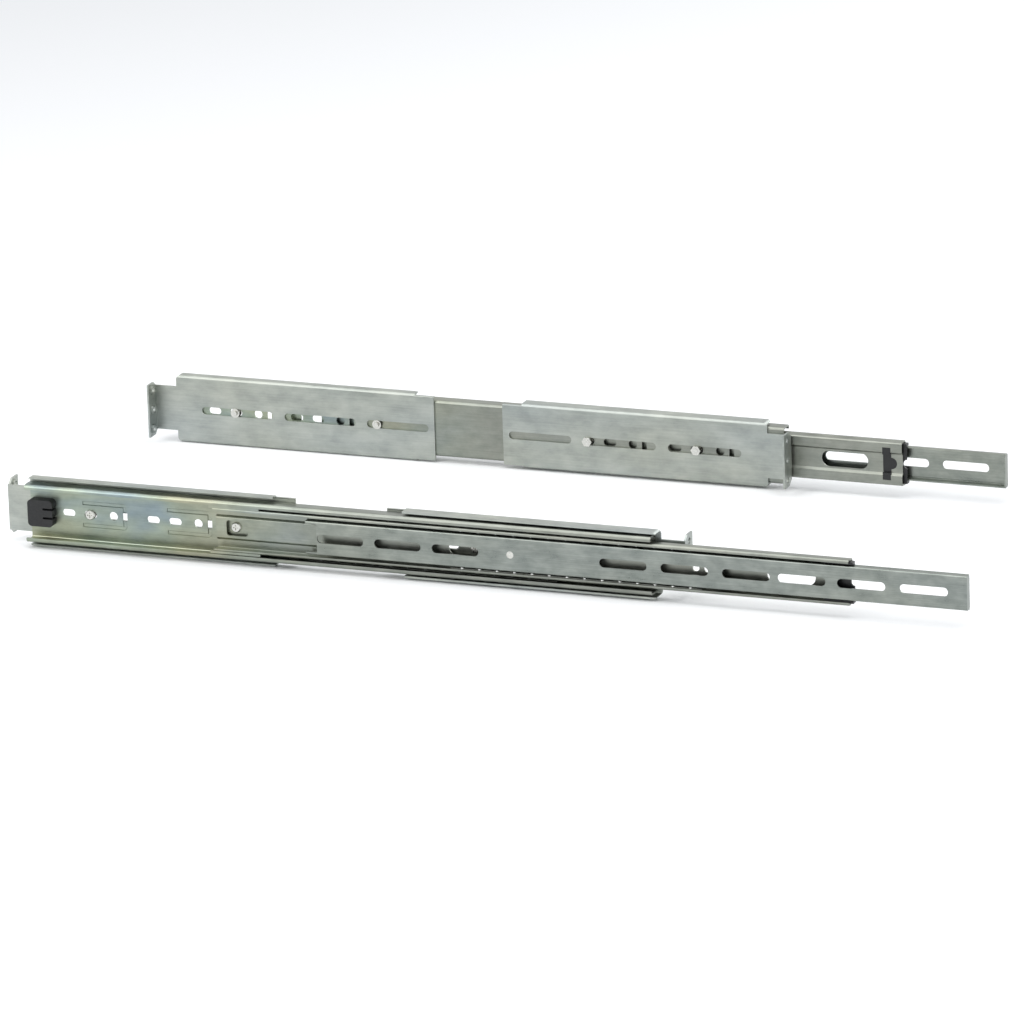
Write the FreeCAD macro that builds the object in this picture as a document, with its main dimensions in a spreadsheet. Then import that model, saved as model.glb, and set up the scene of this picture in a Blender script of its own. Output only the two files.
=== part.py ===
import FreeCAD, Part
import math
import os

os.makedirs("parts", exist_ok=True)
doc = FreeCAD.newDocument("server_rails")

# Driving dimensions, in millimetres and degrees.
sheet = doc.addObject("Spreadsheet::Sheet", "Sizes")
sizes = {}
row = [0]


def size(alias, value):
    """Enter one driving dimension in the sheet."""
    row[0] += 1
    sheet.set("A%d" % row[0], alias)
    sheet.set("B%d" % row[0], str(value))
    sheet.setAlias("B%d" % row[0], alias)
    sizes[alias] = float(value)


# Layout of the pair, standing on the lower bracket edges
size("railSpacing", 282.0)
# Outer member: roll-formed C section
size("outerLength", 508.0)
size("outerHeight", 45.7)
size("outerDepth", 12.7)
size("outerSheet", 1.5)
size("outerBend", 2.1)
size("outerLip", 2.9)
# Middle member: C section with a raised centre band
size("middleLength", 508.0)
size("middleSheet", 1.2)
size("middleBackGap", 0.8)
size("middleMouthInset", 0.8)
size("hatRise", 1.8)
size("hatFlat", 15.6)
size("hatSlope", 1.7)
size("middleLip", 2.0)
size("middleBend", 1.0)
# Inner member: C section screwed to the chassis
size("innerLength", 524.0)
size("innerSheet", 1.2)
size("innerWidth", 26.4)
size("innerLegDepth", 5.0)
size("innerBend", 0.9)
size("innerRearCut", 9.0)
size("innerTabDepth", 5.6)
# Balls and retainers
size("outerBallRadius", 2.0)
size("innerBallRadius", 1.6)
size("ballClear", 0.08)
size("cageClear", 0.06)
size("ballPitch", 14.0)
size("cageLength", 200.0)
size("cageSheet", 0.6)
size("cagePocketSides", 8)
size("cageEndMargin", 4.0)
size("outerCageNear", 2.0)
size("outerCageFar", 8.4)
size("innerCageNear", 5.6)
size("innerCageGap", 0.3)
size("outerBallDepth", 4.6)
size("innerBallDepth", 8.9)
# Travel
size("closedMiddle", 21.5)
size("openMiddle", 265.0)
size("openInner", 250.0)
size("leftMiddleOut", 95.0)
size("leftInnerOut", 66.0)
size("rightMiddleOut", 155.0)
size("rightInnerOut", 76.0)
# Rack brackets
size("bracketSheet", 1.5)
size("rearHeight", 55.0)
size("frontHeight", 52.0)
size("rearLipDepth", 7.5)
size("frontLipDepth", 11.5)
size("bracketBend", 1.2)
size("bracketLength", 238.0)
size("neckLength", 19.0)
size("neckHeight", 36.0)
size("lipStop", 16.0)
size("cornerRadius", 4.0)
size("flangeHeight", 43.0)
size("flangeDepth", 16.0)
size("flangeChamfer", 4.0)
size("rackPitch", 15.875)
size("rackHoleRadius", 2.5)
size("rackCollarRadius", 3.6)
size("rackCollarHeight", 1.3)
size("rackHoleInset", 6.9)
size("adjustSlotHeight", 6.2)
size("slotOneStart", 40.5)
size("slotOneLength", 60.5)
size("slotTwoStart", 111.0)
size("slotTwoLength", 60.5)
size("slotThreeStart", 181.0)
size("slotThreeLength", 52.0)
size("clampGap", 0.05)
size("leftRearFlange", 19.5)
size("rightRearFlange", 19.5)
size("leftFrontFlange", 514.0)
size("rightFrontFlange", 531.0)
# Fixing holes of the outer member
size("groupOne", 31.5)
size("groupTwo", 101.5)
size("groupThree", 346.5)
size("groupFour", 418.5)
size("shortSlotLength", 10.4)
size("shortSlotHeight", 5.6)
size("secondSlotShift", 18.0)
size("roundShift", 37.0)
size("roundRadius", 3.5)
size("windowShift", 46.5)
size("windowLength", 4.0)
size("windowHeight", 6.5)
size("grooveDepth", 0.6)
size("grooveWidth", 3.2)
size("grooveHeight", 17.6)
size("grooveShift", 11.5)
size("grooveTaper", 35.0)
# Clamp screws and nuts
size("screwRadius", 2.0)
size("screwHeadRadius", 3.9)
size("screwHeadHeight", 1.9)
size("screwReach", 5.6)
size("recessWidth", 0.9)
size("recessLength", 4.2)
size("recessDepth", 1.1)
size("nutAcross", 7.0)
size("nutHeight", 2.4)
size("rearNutRadius", 3.7)
size("rearNutHeight", 0.8)
size("threadClear", 0.03)
size("screwHoleClear", 0.25)
size("screwOne", 49.5)
size("screwTwo", 170.0)
size("leftScrewThree", 346.5)
size("leftScrewFour", 436.5)
size("rightScrewThree", 364.5)
size("rightScrewFour", 455.5)
# Rubber bumper
size("bumperLength", 20.5)
size("bumperHeight", 21.0)
size("bumperDepth", 8.0)
size("bumperRadius", 3.2)
size("bumperFinger", 9.0)
size("bumperSlit", 1.7)
size("bumperSlitOverrun", 1.0)
size("screwChamfer", 0.6)
size("recessOverrun", 3.0)
size("springRearMargin", 6.0)
size("springFlatEnd", 9.0)
size("springNoseStart", 6.0)
size("springTipShare", 0.3)
size("springBend", 1.2)
size("rivetHeadSunk", 0.08)
size("rivetTailBite", 0.3)
size("rivetShankSpare", 0.22)
size("innerLipDrop", 0.55)
size("clipLobeShift", 1.4)
size("clipNoseHollowLength", 8.0)
size("clipNoseHollowHeight", 7.0)
size("clipKeyRelief", 0.6)
size("clipKeyGap", 0.2)
# Middle member openings
size("rearWindowLength", 17.4)
size("rearWindowHeight", 12.0)
size("rearWindowCentre", 17.0)
size("rearWindowRadius", 2.2)
size("accessWindowCentre", 208.0)
size("accessWindowLength", 38.0)
size("accessWindowHeight", 12.8)
size("toolHoleCentre", 386.0)
size("toolHoleRadius", 2.8)
size("toolSlotCentre", 398.0)
size("toolSlotLength", 11.0)
size("toolSlotHeight", 6.0)
size("tongueLength", 38.0)
size("tongueReach", 3.0)
size("raceStep", 0.5)
size("raceRampStart", 6.2)
size("raceRampEnd", 7.4)
size("middleTipBend", 1.6)
size("middleLegBend", 0.8)
size("hatBend", 0.7)
size("stopTabStart", 7.6)
size("stopTabBite", 0.3)
size("tongueGap", 0.35)
size("tongueDepth", 2.15)
size("tongueInset", 0.15)
size("tongueBite", 0.2)
size("stopTabHeight", 1.1)
size("stopTabDepth", 2.2)
size("frontWindowLength", 38.0)
size("frontWindowHeight", 12.8)
size("frontWindowCentre", 47.0)
size("clipWindowLength", 6.7)
size("clipWindowHeight", 26.0)
size("clipWindowCentre", 12.5)
size("clipNotchRadius", 4.6)
# Guide clip
size("clipLength", 20.0)
size("clipNose", 3.0)
size("clipPlate", 1.3)
size("clipFit", 0.05)
size("clipRailGap", 0.32)
# Chassis slots of the inner member, measured from its front end
size("chassisSlotLength", 37.5)
size("chassisSlotHeight", 6.9)
size("slotFromFront1", 33.5)
size("slotFromFront2", 82.0)
size("slotFromFront3", 128.5)
size("slotFromFront4", 172.0)
size("slotFromFront5", 220.5)
size("slotFromFront6", 269.0)
size("slotFromFront7", 403.0)
size("slotFromFront8", 449.5)
size("slotFromFront9", 496.0)
# Release spring under the inner member
size("springLength", 62.0)
size("springWidth", 9.0)
size("springSheet", 0.8)
size("springWebGap", 0.35)
size("rivetFromRear", 165.0)
size("rivetRadius", 1.6)
size("rivetHeadRadius", 2.8)
size("rivetHeadHeight", 0.8)
size("rivetSeatDepth", 0.5)
size("springNose", 1.6)
doc.recompute()


def v(alias):
    return sizes[alias]


# The pair is centred along X on its length at rest.
reachLeft = v("leftMiddleOut") + v("leftInnerOut") + v("innerLength")
reachRight = v("rightMiddleOut") + v("rightInnerOut") + v("innerLength")
rearmost = -max(v("leftRearFlange"), v("rightRearFlange"))
midLength = (max(reachLeft, reachRight) + rearmost) / 2.0

# Section positions shared by the three members.
# The first number is the depth from the back of the outer web, the second the height from the centre line.
rackSheet = v("bracketSheet")
baseHeight = v("rearHeight") / 2.0
outerWall = v("outerHeight") / 2.0 - v("outerSheet") / 2.0
outerBallHeight = outerWall - v("outerSheet") / 2.0 - v("outerBallRadius") - v("ballClear")
middleBand = v("outerSheet") + v("middleBackGap") + v("middleSheet") / 2.0
middleHat = middleBand + v("hatRise")
middleLow = outerBallHeight - v("outerBallRadius") - v("ballClear") - v("middleSheet") / 2.0
middleHigh = middleLow + v("raceStep")
middleMouth = v("outerDepth") - v("middleMouthInset") - v("middleSheet") / 2.0
innerBallHeight = middleHigh - v("middleSheet") / 2.0 - v("innerBallRadius") - v("ballClear")
innerWeb = v("outerDepth") - v("innerSheet") / 2.0
innerWall = v("innerWidth") / 2.0 - v("innerSheet") / 2.0
innerRace = innerBallHeight - v("innerBallRadius") - v("ballClear") - v("innerSheet") / 2.0


def unit(a, b):
    dx = b[0] - a[0]
    dy = b[1] - a[1]
    n = math.hypot(dx, dy)
    return (dx / n, dy / n)


def offsetSide(points, radii, shift):
    """One face of a bent sheet, shifted sideways from its middle line, with its bends rounded."""
    count = len(points)
    dirs = [unit(points[i], points[i + 1]) for i in range(count - 1)]
    corners = []
    for i in range(count):
        if i == 0:
            d = dirs[0]
            corners.append((points[0][0] - d[1] * shift, points[0][1] + d[0] * shift))
        elif i == count - 1:
            d = dirs[-1]
            corners.append((points[i][0] - d[1] * shift, points[i][1] + d[0] * shift))
        else:
            a = dirs[i - 1]
            b = dirs[i]
            k = shift / (1.0 + a[0] * b[0] + a[1] * b[1])
            corners.append((points[i][0] + (-a[1] - b[1]) * k, points[i][1] + (a[0] + b[0]) * k))
    pieces = []
    last = corners[0]
    for i in range(1, count - 1):
        a = dirs[i - 1]
        b = dirs[i]
        turn = a[0] * b[1] - a[1] * b[0]
        sign = 1.0 if turn > 0 else -1.0
        bend = radii[i - 1] - sign * shift
        angle = math.acos(max(-1.0, min(1.0, a[0] * b[0] + a[1] * b[1])))
        if bend < 0.02 or angle < 0.01:
            pieces.append(("line", last, corners[i]))
            last = corners[i]
            continue
        back = bend * math.tan(angle / 2.0)
        p = (corners[i][0] - a[0] * back, corners[i][1] - a[1] * back)
        q = (corners[i][0] + b[0] * back, corners[i][1] + b[1] * back)
        centre = (p[0] - a[1] * sign * bend, p[1] + a[0] * sign * bend)
        m = unit(centre, corners[i])
        mid = (centre[0] + m[0] * bend, centre[1] + m[1] * bend)
        pieces.append(("line", last, p))
        pieces.append(("arc", p, mid, q))
        last = q
    pieces.append(("line", last, corners[-1]))
    return pieces


def stripLoop(points, radii, thickness):
    """Closed outline of a bent sheet of even thickness."""
    left = offsetSide(points, radii, thickness / 2.0)
    right = offsetSide(points, radii, -thickness / 2.0)
    back = []
    for piece in reversed(right):
        back.append((piece[0],) + tuple(reversed(piece[1:])))
    loop = list(left)
    loop.append(("line", left[-1][-1], back[0][1]))
    loop += back
    loop.append(("line", back[-1][-1], left[0][1]))
    return loop


def polyLoop(points):
    return [("line", points[i], points[(i + 1) % len(points)]) for i in range(len(points))]


def boxLoop(x1, y1, x2, y2):
    return polyLoop([(x1, y1), (x2, y1), (x2, y2), (x1, y2)])


def slotLoop(cx, cy, length, height):
    r = height / 2.0
    h = length / 2.0 - r
    return [
        ("line", (cx - h, cy - r), (cx + h, cy - r)),
        ("arc", (cx + h, cy - r), (cx + h + r, cy), (cx + h, cy + r)),
        ("line", (cx + h, cy + r), (cx - h, cy + r)),
        ("arc", (cx - h, cy + r), (cx - h - r, cy), (cx - h, cy - r)),
    ]


def roundedBox(cx, cy, length, height, r):
    x1 = cx - length / 2.0
    x2 = cx + length / 2.0
    y1 = cy - height / 2.0
    y2 = cy + height / 2.0
    k = r * (1.0 - math.sqrt(0.5))
    return [
        ("line", (x1 + r, y1), (x2 - r, y1)), ("arc", (x2 - r, y1), (x2 - k, y1 + k), (x2, y1 + r)),
        ("line", (x2, y1 + r), (x2, y2 - r)), ("arc", (x2, y2 - r), (x2 - k, y2 - k), (x2 - r, y2)),
        ("line", (x2 - r, y2), (x1 + r, y2)), ("arc", (x1 + r, y2), (x1 + k, y2 - k), (x1, y2 - r)),
        ("line", (x1, y2 - r), (x1, y1 + r)), ("arc", (x1, y1 + r), (x1 + k, y1 + k), (x1 + r, y1)),
    ]


def ringLoop(cx, cy, r):
    return [("ring", (cx, cy), r)]


def flip(loop, hand):
    """Turn the first coordinate over for the right-hand rail."""
    out = []
    for piece in loop:
        if piece[0] == "ring":
            out.append(("ring", (piece[1][0] * hand, piece[1][1]), piece[2]))
        else:
            out.append((piece[0],) + tuple((p[0] * hand, p[1]) for p in piece[1:]))
    return out


def newBody(label, x, hand):
    body = doc.addObject("PartDesign::Body", label)
    body.Label = label
    body.Placement = FreeCAD.Placement(
        FreeCAD.Vector(x - midLength, hand * v("railSpacing") / 2.0, baseHeight), FreeCAD.Rotation())
    return body


def sketchOn(body, role, loops, offset=0.0):
    sketch = body.newObject("Sketcher::SketchObject", "Sketch")
    plane = [f for f in body.Origin.OriginFeatures if f.Role == role][0]
    sketch.AttachmentSupport = [(plane, "")]
    sketch.MapMode = "FlatFace"
    sketch.AttachmentOffset = FreeCAD.Placement(FreeCAD.Vector(0, 0, offset), FreeCAD.Rotation())
    for loop in loops:
        for piece in loop:
            if piece[0] == "ring":
                centre = FreeCAD.Vector(piece[1][0], piece[1][1], 0)
                sketch.addGeometry(Part.Circle(centre, FreeCAD.Vector(0, 0, 1), piece[2]), False)
                continue
            pts = [FreeCAD.Vector(p[0], p[1], 0) for p in piece[1:]]
            if piece[0] == "line":
                if (pts[0] - pts[1]).Length > 1e-6:
                    sketch.addGeometry(Part.LineSegment(pts[0], pts[1]), False)
            else:
                sketch.addGeometry(Part.Arc(pts[0], pts[1], pts[2]), False)
    doc.recompute()
    return sketch


def padOn(body, sketch, expression, reverse=False, midplane=False):
    pad = body.newObject("PartDesign::Pad", "Pad")
    pad.Profile = sketch
    pad.setExpression("Length", expression)
    pad.Reversed = reverse
    pad.Midplane = midplane
    doc.recompute()
    return pad


def pocketOn(body, sketch, expression=None, reverse=False):
    pocket = body.newObject("PartDesign::Pocket", "Pocket")
    pocket.Profile = sketch
    if expression is None:
        pocket.Type = 1
        pocket.Midplane = True
    else:
        pocket.setExpression("Length", expression)
        pocket.Reversed = reverse
    doc.recompute()
    return pocket


def outerMember(side, hand):
    """C section with curled edges, four groups of fixing holes and two pressed grooves."""
    body = newBody("outer_member_" + side, 0.0, hand)
    back = v("outerSheet") / 2.0
    mouth = v("outerDepth") - v("outerSheet") / 2.0
    tip = outerWall - v("outerLip")
    path = [(mouth, -tip), (mouth, -outerWall), (back, -outerWall),
            (back, outerWall), (mouth, outerWall), (mouth, tip)]
    bends = [v("outerBend")] * 4
    section = sketchOn(body, "YZ_Plane", [flip(stripLoop(path, bends, v("outerSheet")), hand)])
    padOn(body, section, "Sizes.outerLength")
    holes = []
    for start in (v("groupOne"), v("groupTwo"), v("groupThree"), v("groupFour")):
        second = start + v("secondSlotShift")
        holes.append(slotLoop(start, 0, v("shortSlotLength"), v("shortSlotHeight")))
        holes.append(slotLoop(second, 0, v("shortSlotLength"), v("shortSlotHeight")))
        holes.append(ringLoop(start + v("roundShift"), 0, v("roundRadius")))
        x = start + v("windowShift")
        holes.append(boxLoop(x - v("windowLength") / 2, -v("windowHeight") / 2,
                             x + v("windowLength") / 2, v("windowHeight") / 2))
    holes.append(ringLoop(v("screwTwo"), 0, v("screwRadius") + v("screwHoleClear")))
    pocketOn(body, sketchOn(body, "XZ_Plane", holes))
    # pressed grooves around the rear two groups, open towards the rear
    grooves = []
    w = v("grooveWidth") / 2.0
    h = v("grooveHeight") / 2.0
    inner = v("windowHeight") / 2.0
    bend = w * (math.sqrt(2.0) - 1.0)
    for start in (v("groupOne"), v("groupTwo")):
        x1 = start + v("grooveShift")
        x2 = start + v("windowShift")
        for sign in (1, -1):
            grooves.append([
                ("line", (x1, sign * (h + w)), (x2 - w, sign * (h + w))),
                ("arc", (x2 - w, sign * (h + w)), (x2 + bend, sign * (h + bend)), (x2 + w, sign * (h - w))),
                ("line", (x2 + w, sign * (h - w)), (x2 + w, sign * inner)),
                ("line", (x2 + w, sign * inner), (x2 - w, sign * inner)),
                ("line", (x2 - w, sign * inner), (x2 - w, sign * (h - w))),
                ("line", (x2 - w, sign * (h - w)), (x1, sign * (h - w))),
                ("line", (x1, sign * (h - w)), (x1, sign * (h + w))),
            ])
    plane = sketchOn(body, "XZ_Plane", grooves, -hand * v("outerSheet"))
    cut = pocketOn(body, plane, "Sizes.grooveDepth", hand < 0)
    cut.Reversed = hand > 0
    cut.setExpression("TaperAngle", "Sizes.grooveTaper * -1")
    doc.recompute()
    return body


def middleMember(side, hand, x):
    """C section whose centre band is raised over the screw heads, with both ball races pressed in its legs."""
    body = newBody("middle_member_" + side, x, hand)
    half = v("hatFlat") / 2.0
    foot = half + v("hatSlope")
    tip = middleHigh - v("middleLip")
    upper = [(middleBand, foot), (middleBand, middleLow), (v("raceRampStart"), middleLow),
             (v("raceRampEnd"), middleHigh), (middleMouth, middleHigh), (middleMouth, tip)]
    lower = [(p[0], -p[1]) for p in reversed(upper)]
    path = lower + [(middleHat, -half), (middleHat, half)] + upper
    b = v("middleBend")
    leg = [v("middleTipBend"), v("middleLegBend"), v("middleLegBend"), b]
    radii = leg + [v("hatBend")] * 4 + leg[::-1]
    section = sketchOn(body, "YZ_Plane", [flip(stripLoop(path, radii, v("middleSheet")), hand)])
    padOn(body, section, "Sizes.middleLength")
    front = v("middleLength")
    cx = front - v("clipWindowCentre")
    hw = v("clipWindowLength") / 2.0
    hh = v("clipWindowHeight") / 2.0
    r = v("clipNotchRadius")
    windows = [
        roundedBox(v("rearWindowCentre"), 0, v("rearWindowLength"), v("rearWindowHeight"), v("rearWindowRadius")),
        slotLoop(v("accessWindowCentre"), 0, v("accessWindowLength"), v("accessWindowHeight")),
        ringLoop(v("toolHoleCentre"), 0, v("toolHoleRadius")),
        slotLoop(v("toolSlotCentre"), 0, v("toolSlotLength"), v("toolSlotHeight")),
        slotLoop(front - v("frontWindowCentre"), 0, v("frontWindowLength"), v("frontWindowHeight")),
        [("line", (cx - hw, -hh), (cx + hw, -hh)), ("line", (cx + hw, -hh), (cx + hw, -r)),
         ("arc", (cx + hw, -r), (cx + hw + r, 0), (cx + hw, r)),
         ("line", (cx + hw, r), (cx + hw, hh)), ("line", (cx + hw, hh), (cx - hw, hh)),
         ("line", (cx - hw, hh), (cx - hw, -hh))],
    ]
    pocketOn(body, sketchOn(body, "XZ_Plane", windows))
    # stop tabs turned outwards at the rear end
    tabs = []
    for sign in (1, -1):
        z1 = sign * (middleHigh - v("stopTabBite"))
        z2 = sign * (middleHigh + v("middleSheet") / 2.0 + v("stopTabHeight"))
        y = v("stopTabStart")
        tabs.append(flip(boxLoop(y, min(z1, z2), y + v("stopTabDepth"), max(z1, z2)), hand))
    padOn(body, sketchOn(body, "YZ_Plane", tabs), "Sizes.middleSheet")
    # tongues along the mouth that run closer to the outer lips over the rear end
    tongues = []
    edge = outerWall - v("outerLip") - v("tongueGap")
    face = middleMouth + v("middleSheet") / 2.0
    for sign in (1, -1):
        z1 = sign * (middleHigh - v("tongueBite"))
        z2 = sign * edge
        near = face - v("tongueInset")
        tongues.append(flip(boxLoop(near - v("tongueDepth"), min(z1, z2), near, max(z1, z2)), hand))
    padOn(body, sketchOn(body, "YZ_Plane", tongues, -v("tongueReach")), "Sizes.tongueLength + Sizes.tongueReach")
    return body


def innerMember(side, hand, x):
    """C section facing the chassis, with its row of slots and a turned-in front end."""
    body = newBody("inner_member_" + side, x, hand)
    end = innerWeb - v("innerLegDepth")
    upper = [(innerWeb, innerWall), (innerWeb - 1.7, innerWall), (v("innerBallDepth"), innerRace),
             (end, innerRace + v("innerLipDrop"))]
    lower = [(p[0], -p[1]) for p in reversed(upper)]
    radii = [0.8, 0.8, v("innerBend"), v("innerBend"), 0.8, 0.8]
    section = sketchOn(body, "YZ_Plane", [flip(stripLoop(lower + upper, radii, v("innerSheet")), hand)])
    padOn(body, section, "Sizes.innerLength")
    length = v("innerLength")
    slots = []
    for k in range(1, 10):
        slots.append(slotLoop(length - v("slotFromFront%d" % k), 0,
                              v("chassisSlotLength"), v("chassisSlotHeight")))
    slots.append(ringLoop(v("rivetFromRear"), 0, v("rivetRadius") + v("threadClear")))
    pocketOn(body, sketchOn(body, "XZ_Plane", slots))
    # seat for the flush rivet head, pressed into the outer face
    seat = sketchOn(body, "XZ_Plane", [ringLoop(v("rivetFromRear"), 0, v("rivetHeadRadius") + v("threadClear"))],
                    -hand * v("outerDepth"))
    pocketOn(body, seat, "Sizes.rivetSeatDepth", hand > 0)
    # web cut back at the rear, leaving the legs longer
    cut = v("innerRearCut")
    h = innerWall - 1.6
    pocketOn(body, sketchOn(body, "XZ_Plane", [boxLoop(-2.0, -h, cut, h)]))
    # front end turned back
    tab = flip(boxLoop(innerWeb - v("innerTabDepth"), -innerWall + 0.4, innerWeb, innerWall - 0.4), hand)
    padOn(body, sketchOn(body, "YZ_Plane", [tab], length - v("innerSheet")), "Sizes.innerSheet")
    return body


def bracket(label, hand, flangeX, way, height, lipDepth):
    """Slotted rack bracket. way is +1 where it reaches forward from its flange, -1 where it reaches back."""
    body = newBody(label, flangeX, hand)
    t = v("bracketSheet")
    webFace = -v("clampGap")
    back = webFace - t / 2.0
    wall = height / 2.0 - t / 2.0
    lip = webFace - t + lipDepth
    path = [(lip, -wall), (back, -wall), (back, wall), (lip, wall)]
    section = sketchOn(body, "YZ_Plane", [flip(stripLoop(path, [v("bracketBend") + t / 2.0] * 2, t), hand)])
    padOn(body, section, "Sizes.bracketLength", way < 0)
    far = v("bracketLength")
    neck = v("neckLength")
    flat = far - v("lipStop")
    tall = height / 2.0 + 2.0
    web = height / 2.0 - t
    r = v("cornerRadius")
    n = v("neckHeight") / 2.0
    cuts = []
    for sign in (1, -1):
        # waist between the flange and the wide part, with a rounded outer corner
        cuts.append([
            ("line", (-way * 2.0, sign * n), (way * neck, sign * n)),
            ("line", (way * neck, sign * n), (way * neck, sign * (height / 2.0 - r))),
            ("arc", (way * neck, sign * (height / 2.0 - r)),
             (way * (neck + r * (1 - math.cos(math.pi / 4))), sign * (height / 2.0 - r * (1 - math.sin(math.pi / 4)))),
             (way * (neck + r), sign * height / 2.0)),
            ("line", (way * (neck + r), sign * height / 2.0), (way * (neck + r), sign * tall)),
            ("line", (way * (neck + r), sign * tall), (-way * 2.0, sign * tall)),
            ("line", (-way * 2.0, sign * tall), (-way * 2.0, sign * n)),
        ])
        # lips stop short of the inner end
        a = way * flat
        b = way * (far + 2.0)
        cuts.append(boxLoop(min(a, b), min(sign * web, sign * tall), max(a, b), max(sign * web, sign * tall)))
    for name in ("slotOne", "slotTwo", "slotThree"):
        centre = v(name + "Start") + v(name + "Length") / 2.0
        cuts.append(slotLoop(way * centre, 0, v(name + "Length"), v("adjustSlotHeight")))
    pocketOn(body, sketchOn(body, "XZ_Plane", cuts))
    # rack flange turned outwards, with chamfers towards the waist
    f = v("flangeHeight") / 2.0
    c = v("flangeChamfer")
    inner = webFace
    outer = webFace - v("flangeDepth")
    shape = [(inner, -n), (inner - t, -n), (inner - t - c, -f), (outer, -f),
             (outer, f), (inner - t - c, f), (inner - t, n), (inner, n)]
    plate = sketchOn(body, "YZ_Plane", [flip(polyLoop(shape), hand)])
    padOn(body, plate, "Sizes.bracketSheet", way < 0)
    hole = outer + v("rackHoleInset")
    levels = (-v("rackPitch"), 0.0, v("rackPitch"))
    collars = sketchOn(body, "YZ_Plane", [flip(ringLoop(hole, z, v("rackCollarRadius")), hand) for z in levels],
                       way * t)
    padOn(body, collars, "Sizes.rackCollarHeight", way < 0)
    bores = sketchOn(body, "YZ_Plane", [flip(ringLoop(hole, z, v("rackHoleRadius")), hand) for z in levels])
    pocketOn(body, bores, "Sizes.bracketSheet + Sizes.rackCollarHeight", way > 0)
    return body


def ballShape(radius):
    """Ball as a thirty-two sided solid that touches its races at the true radius."""
    axes = [FreeCAD.Vector(1, 0, 0), FreeCAD.Vector(0, 1, 0), FreeCAD.Vector(0, 0, 1)]
    sides = []
    for a in (1, -1):
        for b in (1, -1):
            for c in (1, -1):
                p, q, r = axes[0] * a, axes[1] * b, axes[2] * c
                pq, qr, rp = (p + q).normalize(), (q + r).normalize(), (r + p).normalize()
                for face in ((p, pq, rp), (pq, q, qr), (rp, qr, r), (pq, qr, rp)):
                    pts = [corner * radius for corner in face]
                    sides.append(Part.Face(Part.makePolygon(pts + [pts[0]])))
    solid = Part.makeSolid(Part.makeShell(sides))
    if solid.Volume < 0:
        solid.reverse()
    return solid


def pocketShape(across, at):
    """Flat-sided pocket through a cage strip, its flats standing clear of the ball all round."""
    n = int(v("cagePocketSides"))
    reach = across / math.cos(math.pi / n)
    low = at.z - v("cageSheet")
    ring = []
    for k in range(n + 1):
        turn = (k + 0.5) * 2.0 * math.pi / n
        ring.append(FreeCAD.Vector(at.x + reach * math.cos(turn), at.y + reach * math.sin(turn), low))
    return Part.Face(Part.makePolygon(ring)).extrude(FreeCAD.Vector(0, 0, 2.0 * v("cageSheet")))


def cageBody(hand, ballRadius, depth, height, nearEdge, farEdge):
    """Pair of flat ball cages, one over the other, with a row of pockets for the balls."""
    usable = v("cageLength") - 2.0 * v("cageEndMargin")
    count = int(usable // v("ballPitch")) + 1
    first = (v("cageLength") - (count - 1) * v("ballPitch")) / 2.0
    low = hand * nearEdge if hand > 0 else -farEdge
    shapes = []
    balls = []
    ballBase = ballShape(ballRadius)
    for sign in (1, -1):
        base = Part.makeBox(v("cageLength"), farEdge - nearEdge, v("cageSheet"),
                            FreeCAD.Vector(0, low, sign * height - v("cageSheet") / 2.0))
        drills = []
        for k in range(count):
            at = FreeCAD.Vector(first + k * v("ballPitch"), hand * depth, sign * height)
            drills.append(pocketShape(ballRadius + v("cageClear"), at))
            ball = ballBase.copy()
            ball.translate(at)
            balls.append(ball)
        shapes.append(base.cut(Part.makeCompound(drills)))
    return Part.makeCompound(shapes), Part.makeCompound(balls)


def feature(label, shape, x, hand):
    item = doc.addObject("Part::Feature", label)
    item.Label = label
    item.Shape = shape
    item.Placement = FreeCAD.Placement(
        FreeCAD.Vector(x - midLength, hand * v("railSpacing") / 2.0, baseHeight), FreeCAD.Rotation())
    return item


def cages(side, hand, middleX, innerX):
    outerX = (middleX + v("outerLength")) / 2.0 - v("cageLength") / 2.0
    cage, balls = cageBody(hand, v("outerBallRadius"), v("outerBallDepth"), outerBallHeight,
                           v("outerCageNear"), v("outerCageFar"))
    feature("outer_ball_cage_" + side, cage, outerX, hand)
    feature("outer_balls_" + side, balls, outerX, hand)
    reach = (innerX - middleX + v("middleLength")) / 2.0 - v("cageLength") / 2.0
    cage, balls = cageBody(hand, v("innerBallRadius"), v("innerBallDepth"), innerBallHeight,
                           v("innerCageNear"), middleMouth - v("middleSheet") / 2.0 - v("innerCageGap"))
    feature("inner_ball_cage_" + side, cage, middleX + reach, hand)
    feature("inner_balls_" + side, balls, middleX + reach, hand)


def screws(side, hand, places):
    """Pan-head clamp screws: heads inside the outer member, threads through the bracket slots."""
    inside = v("outerSheet")
    shapes = []
    for x in places:
        head = Part.makeCylinder(v("screwHeadRadius"), v("screwHeadHeight"),
                                 FreeCAD.Vector(x, hand * inside, 0), FreeCAD.Vector(0, hand, 0))
        rim = [e for e in head.Edges if abs(e.BoundBox.YMin - hand * (inside + v("screwHeadHeight"))) < 1e-6
               and abs(e.BoundBox.YMax - e.BoundBox.YMin) < 1e-6]
        head = head.makeChamfer(v("screwChamfer"), rim)
        shank = Part.makeCylinder(v("screwRadius"), v("screwReach"),
                                  FreeCAD.Vector(x, hand * inside, 0), FreeCAD.Vector(0, -hand, 0))
        screw = head.fuse(shank)
        top = inside + v("screwHeadHeight") - v("recessDepth")
        deep = v("recessOverrun")
        low = top if hand > 0 else -(top + deep)
        half = v("recessLength") / 2.0
        width = v("recessWidth") / 2.0
        one = Part.makeBox(2 * half, deep, 2 * width, FreeCAD.Vector(x - half, low, -width))
        two = Part.makeBox(2 * width, deep, 2 * half, FreeCAD.Vector(x - width, low, -half))
        shapes.append(screw.cut(one).cut(two))
    feature("clamp_screws_" + side, Part.makeCompound(shapes), 0.0, hand)


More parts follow.
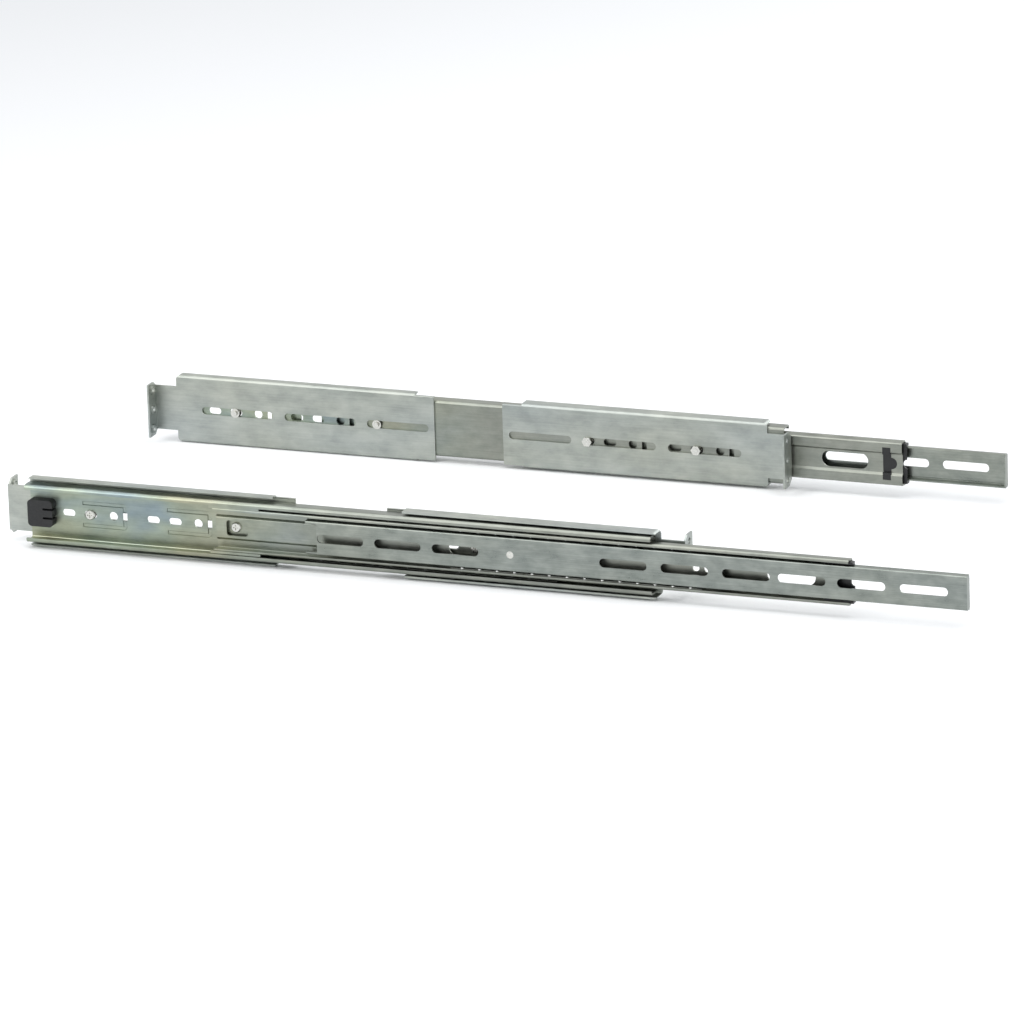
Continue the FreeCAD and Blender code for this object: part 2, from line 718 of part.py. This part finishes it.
def nuts(label, hand, places, radius, height, hexagonal):
    """Nuts on the rack side of the bracket slots."""
    face = -(2 * v("clampGap") + v("bracketSheet"))
    shapes = []
    for x in places:
        if hexagonal:
            r = radius / math.cos(math.pi / 6)
            ring = [FreeCAD.Vector(x + r * math.cos(k * math.pi / 3), hand * face, r * math.sin(k * math.pi / 3))
                    for k in range(7)]
            solid = Part.Face(Part.makePolygon(ring)).extrude(FreeCAD.Vector(0, -hand * height, 0))
        else:
            solid = Part.makeCylinder(radius, height, FreeCAD.Vector(x, hand * face, 0),
                                      FreeCAD.Vector(0, -hand, 0))
        bore = Part.makeCylinder(v("screwRadius") + v("threadClear"), height + 2.0,
                                 FreeCAD.Vector(x, hand * (face + 1.0), 0), FreeCAD.Vector(0, -hand, 0))
        shapes.append(solid.cut(bore))
    feature(label, Part.makeCompound(shapes), 0.0, hand)


def bumper(side, hand):
    """Rubber stop at the closed end, split into three fingers on the side the middle member meets."""
    body = newBody("rubber_bumper_" + side, 0.5, hand)
    length = v("bumperLength")
    height = v("bumperHeight")
    outline = roundedBox(length / 2.0, 0, length, height, v("bumperRadius"))
    block = sketchOn(body, "XZ_Plane", [outline], -hand * v("outerSheet"))
    pad = padOn(body, block, "Sizes.bumperDepth", hand > 0)
    pad.Reversed = hand > 0
    doc.recompute()
    cuts = []
    for z in (-height / 6.0, height / 6.0):
        centre = length + v("bumperSlitOverrun")
        cuts.append(slotLoop(centre, z, 2.0 * v("bumperFinger"), v("bumperSlit")))
    pocketOn(body, sketchOn(body, "XZ_Plane", cuts))
    return body


def guideClip(side, hand, x):
    """Plastic guide at the front of the middle member, keyed through the window in its web."""
    body = newBody("guide_clip_" + side, x, hand)
    front = v("middleLength")
    length = v("clipLength")
    plateBack = middleHat + v("middleSheet") / 2.0
    plateFace = plateBack + v("clipPlate")
    roof = middleLow - v("middleSheet") / 2.0 - v("clipFit")
    lobe = innerRace + v("innerLipDrop") + v("innerSheet") / 2.0 + v("clipRailGap")
    lobeFace = v("innerBallDepth") + v("clipLobeShift")
    # plate behind the inner member with a guide lobe along each edge
    profile = polyLoop([
        (plateBack, -roof), (lobeFace, -roof), (lobeFace, -lobe), (plateFace, -lobe),
        (plateFace, lobe), (lobeFace, lobe), (lobeFace, roof), (plateBack, roof)])
    section = sketchOn(body, "YZ_Plane", [flip(profile, hand)], front - length)
    padOn(body, section, "Sizes.clipLength + Sizes.clipNose")
    # hollow of the nose, so the front edge shows as a thin arch
    nose = [slotLoop(front + v("clipNose") + v("bumperSlitOverrun"), 0,
                     v("clipNoseHollowLength"), v("clipNoseHollowHeight"))]
    pocketOn(body, sketchOn(body, "XZ_Plane", nose))
    # key filling the window
    cx = front - v("clipWindowCentre")
    hw = v("clipWindowLength") / 2.0 - v("clipFit")
    hh = v("hatFlat") / 2.0 - v("clipKeyRelief")
    r = v("clipNotchRadius") - v("clipFit")
    key = [[("line", (cx - hw, -hh), (cx + hw, -hh)), ("line", (cx + hw, -hh), (cx + hw, -r)),
            ("arc", (cx + hw, -r), (cx + hw + r, 0), (cx + hw, r)),
            ("line", (cx + hw, r), (cx + hw, hh)), ("line", (cx + hw, hh), (cx - hw, hh)),
            ("line", (cx - hw, hh), (cx - hw, -hh))]]
    pad = padOn(body, sketchOn(body, "XZ_Plane", key, -hand * (plateBack + v("clipKeyGap"))),
                "Sizes.middleSheet + Sizes.clipKeyGap", False)
    pad.Reversed = hand < 0
    doc.recompute()
    # fillers of the window above and below the raised band
    fill = []
    for sign in (1, -1):
        z1 = sign * (v("hatFlat") / 2.0 - v("clipKeyRelief"))
        z2 = sign * (v("clipWindowHeight") / 2.0 - v("clipFit"))
        fill.append(boxLoop(cx - hw, min(z1, z2), cx + hw, max(z1, z2)))
    pad = padOn(body, sketchOn(body, "XZ_Plane", fill, -hand * (plateBack + v("clipKeyGap"))),
                "Sizes.hatRise + Sizes.middleSheet + Sizes.clipKeyGap", False)
    pad.Reversed = hand < 0
    doc.recompute()
    return body


def releaseSpring(side, hand, x):
    """Leaf spring riveted behind the inner member's web; its free end turns down as the release catch."""
    t = v("springSheet")
    w = v("springWidth") / 2.0
    face = v("outerDepth") - v("innerSheet") - v("springWebGap")
    rear = v("rivetFromRear") - v("springRearMargin")
    front = rear + v("springLength")
    flat = face - t / 2.0
    path = [(rear, flat), (front - v("springFlatEnd"), flat),
            (front - v("springNoseStart"), flat - v("springNose")),
            (front, flat - v("springNose") * v("springTipShare"))]
    loop = stripLoop(path, [v("springBend")] * 2, t)
    edges = []
    for piece in loop:
        pts = [FreeCAD.Vector(p[0], hand * p[1], -w) for p in piece[1:]]
        if piece[0] == "line":
            edges.append(Part.makeLine(pts[0], pts[1]))
        else:
            edges.append(Part.Arc(pts[0], pts[1], pts[2]).toShape())
    leaf = Part.Face(Part.Wire(Part.__sortEdges__(edges))).extrude(FreeCAD.Vector(0, 0, 2 * w))
    bore = Part.makeCylinder(v("rivetRadius") + v("threadClear"), 20.0,
                             FreeCAD.Vector(v("rivetFromRear"), -hand * 2.0, 0), FreeCAD.Vector(0, hand, 0))
    feature("release_spring_" + side, leaf.cut(bore), x, hand)
    # rivet through the web and the leaf, with a low head on each side
    outside = v("outerDepth")
    r = v("rivetRadius")
    head = v("rivetHeadHeight")
    at = v("rivetFromRear")
    sunk = outside - v("rivetHeadSunk")
    shank = Part.makeCylinder(r, v("innerSheet") + v("springWebGap") + t + v("rivetShankSpare"),
                              FreeCAD.Vector(at, hand * sunk, 0), FreeCAD.Vector(0, -hand, 0))
    tail = Part.makeCylinder(v("rivetHeadRadius"), head,
                             FreeCAD.Vector(at, hand * (face - t - v("rivetTailBite")), 0), FreeCAD.Vector(0, -hand, 0))
    cap = Part.makeCylinder(v("rivetHeadRadius"), v("rivetSeatDepth") - v("rivetHeadSunk"),
                            FreeCAD.Vector(at, hand * sunk, 0), FreeCAD.Vector(0, -hand, 0))
    feature("release_rivet_" + side, shank.fuse(tail).fuse(cap), x, hand)


def buildRail(side, hand):
    middleX = v(side + "MiddleOut")
    innerX = middleX + v(side + "InnerOut")
    outerMember(side, hand)
    bumper(side, hand)
    middleMember(side, hand, middleX)
    guideClip(side, hand, middleX)
    innerMember(side, hand, innerX)
    releaseSpring(side, hand, innerX)
    cages(side, hand, middleX, innerX)
    bracket("rear_bracket_" + side, hand, -v(side + "RearFlange"), 1, v("rearHeight"), v("rearLipDepth"))
    bracket("front_bracket_" + side, hand, v(side + "FrontFlange"), -1, v("frontHeight"), v("frontLipDepth"))
    rear = [v("screwOne"), v("screwTwo")]
    front = [v(side + "ScrewThree"), v(side + "ScrewFour")]
    screws(side, hand, rear + front)
    nuts("rear_nuts_" + side, hand, rear, v("rearNutRadius"), v("rearNutHeight"), False)
    nuts("front_nuts_" + side, hand, front, v("nutAcross") / 2.0, v("nutHeight"), True)


buildRail("left", 1)
buildRail("right", -1)
doc.recompute()

# Check and export every sub-part.
for item in doc.Objects:
    if "Invalid" in item.State or "Error" in item.State:
        raise RuntimeError("feature failed: " + item.Label)
kept = [o for o in doc.Objects if o.TypeId == "PartDesign::Body" or o.TypeId == "Part::Feature"]
for item in kept:
    if item.Shape.isNull() or not item.Shape.isValid():
        raise RuntimeError("bad shape: " + item.Label)
    print(item.Label, len(item.Shape.Solids), round(item.Shape.Volume, 1))
    item.Shape.exportStep("parts/" + item.Label + ".step")
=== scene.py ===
import math
import bpy
import bmesh
from mathutils import Matrix, Vector


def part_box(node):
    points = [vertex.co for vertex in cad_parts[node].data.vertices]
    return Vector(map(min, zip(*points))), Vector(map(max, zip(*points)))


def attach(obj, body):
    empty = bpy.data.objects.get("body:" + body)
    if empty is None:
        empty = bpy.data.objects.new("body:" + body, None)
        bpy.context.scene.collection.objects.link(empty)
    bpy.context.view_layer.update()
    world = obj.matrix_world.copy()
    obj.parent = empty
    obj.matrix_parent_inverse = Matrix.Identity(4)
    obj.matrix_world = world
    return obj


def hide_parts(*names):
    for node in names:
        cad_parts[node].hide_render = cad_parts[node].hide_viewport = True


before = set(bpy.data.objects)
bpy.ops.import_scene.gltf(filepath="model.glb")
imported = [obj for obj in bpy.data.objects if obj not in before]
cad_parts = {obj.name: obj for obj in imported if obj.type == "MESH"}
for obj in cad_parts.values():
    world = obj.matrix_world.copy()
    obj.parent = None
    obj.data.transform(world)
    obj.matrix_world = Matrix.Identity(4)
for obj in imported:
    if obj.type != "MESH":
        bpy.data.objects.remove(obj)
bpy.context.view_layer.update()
mm = 0.001
sides = ("left", "right")
hands = {"left": 1.0, "right": -1.0}
print("frame loaded")


def hexToLinear(code):
    values = []
    for i in (0, 2, 4):
        c = int(code.lstrip("#")[i:i + 2], 16) / 255.0
        values.append(c / 12.92 if c <= 0.04045 else ((c + 0.055) / 1.055) ** 2.4)
    return (values[0], values[1], values[2], 1.0)


# adds a node, sets its properties, then its inputs: a (node, output) pair is linked, anything else is a value
def addNode(tree, kind, settings=None, inputs=None):
    node = tree.nodes.new(kind)
    for name, value in (settings or {}).items():
        setattr(node, name, value)
    for name, value in (inputs or {}).items():
        socket = node.inputs[name]
        if isinstance(value, tuple) and len(value) == 2 and hasattr(value[0], "outputs"):
            tree.links.new(value[0].outputs[value[1]], socket)
        else:
            socket.default_value = value
    return node


def colourRamp(tree, source, stops):
    ramp = addNode(tree, "ShaderNodeValToRGB", inputs={"Fac": source})
    elements = ramp.color_ramp.elements
    while len(elements) < len(stops):
        elements.new(0.5)
    for element, (place, colour) in zip(elements, stops):
        element.position = place
        element.color = hexToLinear(colour) if isinstance(colour, str) else (colour, colour, colour, 1.0)
    return ramp


def emptyMaterial(name):
    material = bpy.data.materials.new(name)
    material.use_nodes = True
    material.node_tree.nodes.clear()
    return material, material.node_tree


def finishMaterial(tree, shader):
    addNode(tree, "ShaderNodeOutputMaterial", inputs={"Surface": (shader, "BSDF")})


# metals
# Cold-rolled steel strip, roll formed, zinc plated and passivated. The eye gets a soft grey metal with
# faint lines along the strip and a cloudy bloom from the passivation.
def zincPlatedSteel(name, look):
    material, tree = emptyMaterial(name)
    coords = addNode(tree, "ShaderNodeTexCoord")
    # rolling lines: about 0.4 mm apart across the strip, 60 mm long
    stretch = addNode(tree, "ShaderNodeMapping", inputs={
        "Vector": (coords, "Object"), "Scale": look["lineScale"]})
    lines = addNode(tree, "ShaderNodeTexNoise", inputs={
        "Vector": (stretch, "Vector"), "Scale": 1.0, "Detail": 4.0, "Roughness": 0.6})
    # bloom of the passivation: clouds about 12 mm across, drawn out along the strip
    cloudMap = addNode(tree, "ShaderNodeMapping", inputs={
        "Vector": (coords, "Object"), "Scale": (45.0, 85.0, 85.0)})
    clouds = addNode(tree, "ShaderNodeTexNoise", inputs={
        "Vector": (cloudMap, "Vector"), "Scale": 1.0, "Detail": 5.0, "Roughness": 0.62})
    # fine crystals of the plating, about 0.6 mm across
    crystals = addNode(tree, "ShaderNodeTexVoronoi", inputs={
        "Vector": (coords, "Object"), "Scale": 900.0})
    base = colourRamp(tree, (clouds, "Fac"), look["cloudStops"])
    # passivation tint: slow drift between yellow, green and blue along the rail
    tintMap = addNode(tree, "ShaderNodeMapping", inputs={
        "Vector": (coords, "Object"), "Location": look["tintShift"], "Scale": look["tintScale"]})
    tintNoise = addNode(tree, "ShaderNodeTexNoise", inputs={
        "Vector": (tintMap, "Vector"), "Scale": 1.0, "Detail": 2.0, "Roughness": 0.5})
    tint = colourRamp(tree, (tintNoise, "Fac"), look["tintStops"])
    # the tint is strongest at the rear and thins out towards the front
    along = addNode(tree, "ShaderNodeSeparateXYZ", inputs={"Vector": (coords, "Object")})
    fade = addNode(tree, "ShaderNodeMapRange", inputs={
        "Value": (along, "X"), "From Min": look["fade"][0], "From Max": look["fade"][1],
        "To Min": look["tint"], "To Max": look["tint"] * look["fade"][2]})
    tinted = addNode(tree, "ShaderNodeMix", {"data_type": "RGBA", "blend_type": "MULTIPLY"}, {
        "Factor": (fade, "Result"), 6: (base, "Color"), 7: (tint, "Color")})
    # painted shade: the steel is darkened towards the front, where less light falls on it
    paintedFrontShade = addNode(tree, "ShaderNodeMapRange", inputs={
        "Value": (along, "X"), "From Min": look["fade"][0], "From Max": look["fade"][1],
        "To Min": 1.0, "To Max": look["paintedFrontTone"]})
    shaded = addNode(tree, "ShaderNodeMix", {"data_type": "RGBA", "blend_type": "MULTIPLY"}, {
        "Factor": 1.0, 6: (tinted, 2), 7: (paintedFrontShade, "Result")})
    lineTone = colourRamp(tree, (lines, "Fac"), [(0.30, look["lineDark"]), (0.70, 1.0)])
    lined = addNode(tree, "ShaderNodeMix", {"data_type": "RGBA", "blend_type": "MULTIPLY"}, {
        "Factor": 1.0, 6: (shaded, 2), 7: (lineTone, "Color")})
    roughClouds = addNode(tree, "ShaderNodeMapRange", inputs={
        "Value": (clouds, "Fac"), "From Min": 0.3, "From Max": 0.7,
        "To Min": look["roughness"] - 0.06, "To Max": look["roughness"] + 0.07})
    roughLines = addNode(tree, "ShaderNodeMath", {"operation": "MULTIPLY_ADD"}, {
        0: (lines, "Fac"), 1: 0.10, 2: (roughClouds, "Result")})
    height = addNode(tree, "ShaderNodeMath", {"operation": "MULTIPLY_ADD"}, {
        0: (crystals, "Distance"), 1: 0.25, 2: (lines, "Fac")})
    bump = addNode(tree, "ShaderNodeBump", inputs={
        "Height": (height, "Value"), "Strength": look["bump"], "Distance": 0.00005})
    shader = addNode(tree, "ShaderNodeBsdfPrincipled", inputs={
        "Base Color": (lined, 2), "Metallic": 1.0,
        "Roughness": (roughLines, "Value"), "Normal": (bump, "Normal")})
    finishMaterial(tree, shader)
    return material


steelLook = {
    "lineScale": (16.0, 1400.0, 1400.0), "cloudStops": [(0.34, "#A2A6A3"), (0.66, "#B9BCB8")],
    "tintShift": (0.0, 0.0, 0.0), "tintScale": (6.0, 14.0, 14.0),
    "tintStops": [(0.3, "#F0EEDC"), (0.7, "#E2E8EC")], "tint": 0.6,
    "lineDark": 0.86, "roughness": 0.36, "bump": 0.18, "fade": (-0.4, 0.4, 1.0), "paintedFrontTone": 1.0,
}
bracketLook = dict(steelLook, cloudStops=[(0.34, "#A4A9A6"), (0.66, "#BEC2BE")], roughness=0.38, tint=0.5)
innerLook = dict(steelLook, cloudStops=[(0.34, "#848A86"), (0.66, "#A1A6A1")], roughness=0.26,
                 lineDark=0.80, tint=0.4)
# painted shade: the passivated members are darkened to 0.72 towards their front
yellowLook = dict(steelLook, cloudStops=[(0.34, "#9CA099"), (0.66, "#B5B8B0")],
                  tintStops=[(0.30, "#F2ECCB"), (0.44, "#E9EED6"), (0.56, "#DDEBE0"),
                             (0.68, "#BCD2E8"), (0.80, "#E4DDEA")],
                  tint=0.8, tintScale=(13.0, 30.0, 30.0), roughness=0.32,
                  fade=(-0.26, -0.10, 0.15), paintedFrontTone=0.72)
galvanised = {
    "bracket": zincPlatedSteel("zincPlatedBracket", bracketLook),
    "inner": zincPlatedSteel("zincPlatedInner", innerLook),
    "yellow": zincPlatedSteel("zincYellowPassivated", yellowLook),
}


# Small turned or pressed steel pieces. The eye gets one clean metal with slight unevenness in its gloss.
def plainMetal(name, colour, roughness, grain):
    material, tree = emptyMaterial(name)
    coords = addNode(tree, "ShaderNodeTexCoord")
    noise = addNode(tree, "ShaderNodeTexNoise", inputs={
        "Vector": (coords, "Object"), "Scale": grain, "Detail": 3.0})
    tone = colourRamp(tree, (noise, "Fac"), [(0.3, 0.82), (0.7, 1.0)])
    base = addNode(tree, "ShaderNodeMix", {"data_type": "RGBA", "blend_type": "MULTIPLY"}, {
        "Factor": 1.0, 6: hexToLinear(colour), 7: (tone, "Color")})
    rough = addNode(tree, "ShaderNodeMapRange", inputs={
        "Value": (noise, "Fac"), "From Min": 0.3, "From Max": 0.7,
        "To Min": roughness * 0.8, "To Max": roughness * 1.25})
    shader = addNode(tree, "ShaderNodeBsdfPrincipled", inputs={
        "Base Color": (base, 2), "Metallic": 1.0, "Roughness": (rough, "Result")})
    finishMaterial(tree, shader)
    return material


polishedBall = plainMetal("polishedBallSteel", "#E6E7E6", 0.10, 300.0)   # mirror bright balls
cageStrip = plainMetal("pressedCageStrip", "#8F918C", 0.34, 500.0)       # dull thin strip
brightZinc = plainMetal("brightZincFastener", "#D2D2CC", 0.24, 700.0)    # screws and nuts
springStrip = plainMetal("temperedSpringStrip", "#7E8184", 0.30, 500.0)  # darker spring steel


# Moulded black pieces: rubber is matt with a dusty bloom, plastic is a little glossier.
def mouldedBlack(name, colour, dust, roughness, grain):
    material, tree = emptyMaterial(name)
    coords = addNode(tree, "ShaderNodeTexCoord")
    noise = addNode(tree, "ShaderNodeTexNoise", inputs={
        "Vector": (coords, "Object"), "Scale": grain, "Detail": 5.0, "Roughness": 0.7})
    base = colourRamp(tree, (noise, "Fac"), [(0.35, colour), (0.75, dust)])
    bump = addNode(tree, "ShaderNodeBump", inputs={
        "Height": (noise, "Fac"), "Strength": 0.2, "Distance": 0.00008})
    shader = addNode(tree, "ShaderNodeBsdfPrincipled", inputs={
        "Base Color": (base, "Color"), "Roughness": roughness, "IOR": 1.5, "Normal": (bump, "Normal")})
    finishMaterial(tree, shader)
    return material


blackRubber = mouldedBlack("mouldedBlackRubber", "#131415", "#232425", 0.62, 900.0)
blackPlastic = mouldedBlack("mouldedBlackAcetal", "#0E0F10", "#17181A", 0.38, 1400.0)
print("materials made")


def assign(node, material):
    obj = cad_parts[node]
    for slot in obj.material_slots:
        slot.material = material


for side in sides:
    assign("outer_member_" + side, galvanised["yellow"])
    assign("middle_member_" + side, galvanised["yellow"])
    assign("inner_member_" + side, galvanised["inner"])
    assign("rear_bracket_" + side, galvanised["bracket"])
    assign("front_bracket_" + side, galvanised["bracket"])
    assign("outer_ball_cage_" + side, cageStrip)
    assign("inner_ball_cage_" + side, cageStrip)
    assign("clamp_screws_" + side, brightZinc)
    assign("rear_nuts_" + side, brightZinc)
    assign("front_nuts_" + side, brightZinc)
    assign("release_rivet_" + side, brightZinc)
    assign("release_spring_" + side, springStrip)
    assign("rubber_bumper_" + side, blackRubber)
    assign("guide_clip_" + side, blackPlastic)
print("frame dressed")


def meshObject(name, mesh, material, smooth=True):
    obj = bpy.data.objects.new(name, mesh)
    bpy.context.scene.collection.objects.link(obj)
    mesh.materials.append(material)
    for face in mesh.polygons:
        face.use_smooth = smooth
    return obj


# balls
ballRows = {
    "outer_balls": {"radius": 2.0 * mm, "pitch": 14.0 * mm, "count": 14},
    "inner_balls": {"radius": 1.6 * mm, "pitch": 14.0 * mm, "count": 14},
}


def makeBalls(kind, side):
    row = ballRows[kind]
    node = kind + "_" + side
    low, high = [Vector(c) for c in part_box(node)]
    r = row["radius"]
    middle = (low.x + high.x) / 2.0
    y = (low.y + high.y) / 2.0
    work = bmesh.new()
    for z in (low.z, high.z):
        centreZ = (low.z + high.z) / 2.0
        half = (high.z - low.z) / 2.0 - r
        z0 = centreZ + (half if z == high.z else -half)
        for k in range(row["count"]):
            x = middle + (k - (row["count"] - 1) / 2.0) * row["pitch"]
            bmesh.ops.create_icosphere(work, subdivisions=3, radius=r,
                                       matrix=Matrix.Translation((x, y, z0)))
    mesh = bpy.data.meshes.new("smooth_" + node)
    work.to_mesh(mesh)
    work.free()
    piece = meshObject("smooth_" + node, mesh, polishedBall)
    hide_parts(node)
    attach(piece, node + "_body")
    return piece


for side in sides:
    for kind in ballRows:
        makeBalls(kind, side)
print("balls made")


# floor, light and camera
stageLook = {"floorSize": 12.0, "floorDrop": 0.0002, "seen": 1.0, "bounce": "#E4E4E2"}


# one where a ray from the camera, or one reflected or passed through to it, meets the surface
def seenRays(tree):
    rays = addNode(tree, "ShaderNodeLightPath")
    through = addNode(tree, "ShaderNodeMath", {"operation": "MAXIMUM"}, {
        0: (rays, "Is Camera Ray"), 1: (rays, "Is Transmission Ray")})
    return addNode(tree, "ShaderNodeMath", {"operation": "MAXIMUM"}, {
        0: (through, "Value"), 1: (rays, "Is Glossy Ray")})


def makeFloor():
    mesh = bpy.data.meshes.new("floor")
    s = stageLook["floorSize"] / 2.0
    z = -stageLook["floorDrop"]
    mesh.from_pydata([(-s, -s, z), (s, -s, z), (s, s, z), (-s, s, z)], [], [(0, 1, 2, 3)])
    material, tree = emptyMaterial("paintedPaleFloor")
    seen = seenRays(tree)
    w = stageLook["seen"]
    tone = addNode(tree, "ShaderNodeMix", {"data_type": "RGBA"}, {
        "Factor": (seen, "Value"), 6: hexToLinear(stageLook["bounce"]), 7: (w, w, w, 1.0)})
    shader = addNode(tree, "ShaderNodeBsdfDiffuse", inputs={"Color": (tone, 2)})
    finishMaterial(tree, shader)
    floor = meshObject("floor", mesh, material, False)


def makeWorld():
    world = bpy.data.worlds.new("studio")
    bpy.context.scene.world = world
    world.use_nodes = True
    tree = world.node_tree
    tree.nodes.clear()
    seen = seenRays(tree)
    fill = addNode(tree, "ShaderNodeBackground", inputs={"Color": (0.93, 0.96, 1.0, 1.0), "Strength": 0.62})
    pale = addNode(tree, "ShaderNodeBackground", inputs={"Color": (1.0, 1.0, 1.0, 1.0), "Strength": 1.0})
    mix = addNode(tree, "ShaderNodeMixShader", inputs={
        0: (seen, "Value"), 1: (fill, "Background"), 2: (pale, "Background")})
    addNode(tree, "ShaderNodeOutputWorld", inputs={"Surface": (mix, "Shader")})


lamps = {
    "overheadSoftbox": {"at": (0.1, -0.3, 1.9), "aim": (0.0, 0.0, 0.0), "size": (2.6, 1.8), "power": 26.0},
    "keySoftbox": {"at": (-1.4, -1.6, 1.3), "aim": (0.0, 0.0, 0.0), "size": (1.3, 1.0), "power": 16.0},
    "rearStrip": {"at": (0.8, 1.9, 1.0), "aim": (0.1, 0.1, 0.0), "size": (1.6, 0.6), "power": 9.0},
}


def makeLamps():
    for name, look in lamps.items():
        data = bpy.data.lights.new(name, "AREA")
        data.shape = "RECTANGLE"
        data.size, data.size_y = look["size"]
        data.energy = look["power"]
        lamp = bpy.data.objects.new(name, data)
        lamp.location = look["at"]
        direction = Vector(look["aim"]) - Vector(look["at"])
        lamp.rotation_euler = direction.to_track_quat("-Z", "Y").to_euler()
        bpy.context.scene.collection.objects.link(lamp)


# angles in degrees: turn about the vertical, pitch below the horizontal, roll about the line of sight
cameraLook = {
    "at": (2.41389, -6.09842, 2.01906),
    "turn": 21.76,
    "pitch": 17.0,
    "roll": 1.88,
    "lens": 316.4,
    "shift": -0.012,
}


def makeCamera():
    data = bpy.data.cameras.new("camera")
    data.lens = cameraLook["lens"]
    data.sensor_width = 36.0
    data.shift_x = cameraLook["shift"]
    data.clip_end = 40.0
    camera = bpy.data.objects.new("camera", data)
    turn, pitch, roll = [math.radians(cameraLook[name]) for name in ("turn", "pitch", "roll")]
    level = Vector((math.cos(turn), math.sin(turn), 0.0))
    forward = Vector((-math.sin(turn) * math.cos(pitch), math.cos(turn) * math.cos(pitch), -math.sin(pitch)))
    below = forward.cross(level)
    right = level * math.cos(roll) + below * math.sin(roll)
    up = level * math.sin(roll) - below * math.cos(roll)
    pose = Matrix((right, up, -forward)).transposed().to_4x4()
    camera.matrix_world = Matrix.Translation(cameraLook["at"]) @ pose
    bpy.context.scene.collection.objects.link(camera)
    bpy.context.scene.camera = camera


makeFloor()
makeWorld()
makeLamps()
makeCamera()
bpy.context.scene.view_settings.view_transform = "Standard"
print("stage set")
